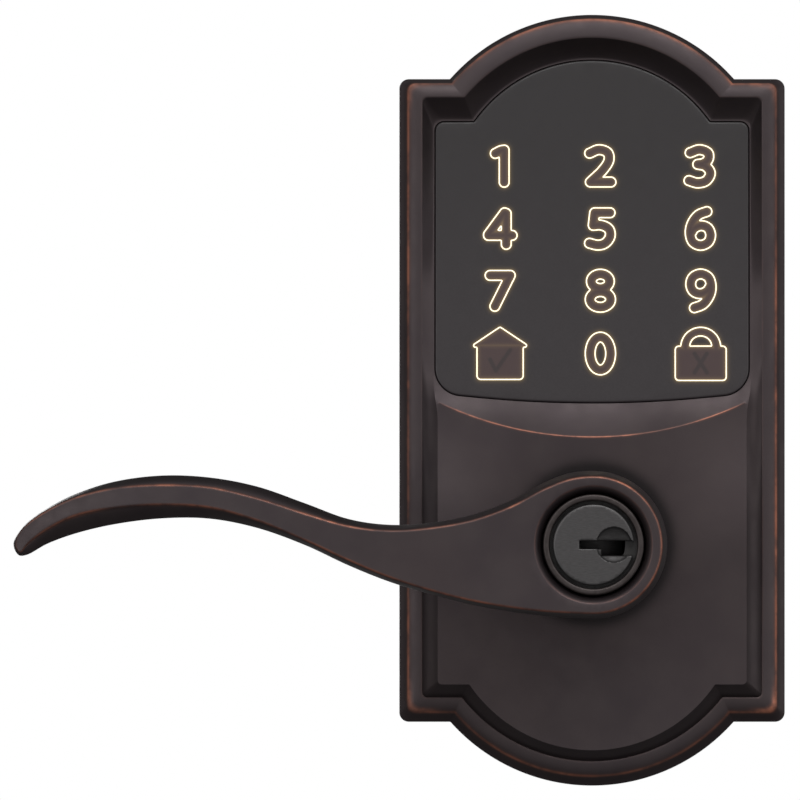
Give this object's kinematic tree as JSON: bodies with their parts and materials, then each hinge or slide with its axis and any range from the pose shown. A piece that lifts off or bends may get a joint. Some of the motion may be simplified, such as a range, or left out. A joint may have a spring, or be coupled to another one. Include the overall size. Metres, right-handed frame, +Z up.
{
  "type": "keypad smart lock",
  "caption": "Outside unit of a keypad lever lock: arched bronze escutcheon, smoked touch keypad, wave lever with a key cylinder, spindle and mounting posts.",
  "frame": {"origin": "the lever's axis where it crosses the face of the door", "axes": "+Y goes into the door along the lever's axis, +Z is up, +X is to the right seen from the front"},
  "size_m": [0.1612, 0.12, 0.1618],
  "materials": {
    "aged_bronze": "satin",
    "smoked_lens": "satin",
    "black_nickel": "satin",
    "steel": "satin",
    "spring_steel": "satin",
    "brass": "satin",
    "black_plastic": "matte",
    "natural_plastic": "matte",
    "circuit_board": "satin",
    "light_guide": "satin",
    "foam": "matte",
    "rubber": "matte"
  },
  "bodies": {
    "root": {"escutcheon": "aged_bronze", "keypad_lens": "smoked_lens", "lens_gasket": "foam", "light_guide": "light_guide", "touch_board": "circuit_board", "main_board": "circuit_board", "processor_shield": "steel", "radio_module": "black_plastic", "board_connector": "natural_plastic", "buzzer": "black_plastic", "back_plate": "steel", "back_gasket": "foam", "cable_grommet": "rubber", "lever_bushing": "black_plastic", "spring_cage": "steel", "return_spring": "spring_steel", "mounting_post_left": "steel", "mounting_post_right": "steel", "clutch_motor": "steel", "motor_bracket": "natural_plastic", "slider_guide": "natural_plastic", "cover_screw_1": "steel", "cover_screw_2": "steel", "cover_screw_3": "steel", "cover_screw_4": "steel", "cover_screw_5": "steel", "cover_screw_6": "steel", "board_screw_1": "steel", "board_screw_2": "steel", "board_screw_3": "steel", "board_screw_4": "steel"},
    "lever": {"lever_handle": "aged_bronze", "lever_spindle": "steel", "catch_pin": "steel", "cylinder_housing": "brass", "cylinder_collar": "aged_bronze", "driver_pin_1": "brass", "driver_pin_2": "brass", "driver_pin_3": "brass", "driver_pin_4": "brass", "driver_pin_5": "brass"},
    "key_plug": {"key_plug": "black_nickel", "plug_tailpiece": "brass"},
    "drive": {"drive_hub": "steel", "drive_spindle": "steel", "spring_driver": "steel", "spindle_circlip": "spring_steel"},
    "clutch_pin": {"clutch_pin": "steel"},
    "pinion": {"motor_pinion": "brass"},
    "slider": {"locking_slider": "steel"}
  },
  "joints": [
    {"name": "lever_turn", "type": "hinge", "parent": "root", "child": "lever", "pos_m": [0, 0, 0], "axis": [0, 1, 0], "range_deg": [-50, 50], "stiffness_Nm_per_rad": 0.9, "springref_deg": 4.87},
    {"name": "key_turn", "type": "hinge", "parent": "lever", "child": "key_plug", "pos_m": [0, 0, 0], "axis": [0, 1, 0], "range_deg": [-90, 90]},
    {"name": "drive_turn", "type": "hinge", "parent": "root", "child": "drive", "pos_m": [0, 0, 0], "axis": [0, 1, 0], "range_deg": [-50, 50]},
    {"name": "clutch_pin_slide", "type": "slide", "parent": "drive", "child": "clutch_pin", "axis": [0, 0, -1], "range_m": [0, 0.0025]},
    {"name": "pinion_turn", "type": "hinge", "parent": "root", "child": "pinion", "pos_m": [0.0054, 0, 0.022], "axis": [0, -1, 0], "range_deg": [0, 72]},
    {"name": "slider_slide", "type": "slide", "parent": "root", "child": "slider", "axis": [0, 0, -1], "range_m": [0, 0.0025]}
  ],
  "couplings": [
    {"joint": "drive_turn", "follows": "lever_turn", "ratio": 1},
    {"joint": "pinion_turn", "follows": "slider_slide", "rad_per_m": 500},
    {"joint": "clutch_pin_slide", "follows": "slider_slide", "ratio": 1}
  ]
}
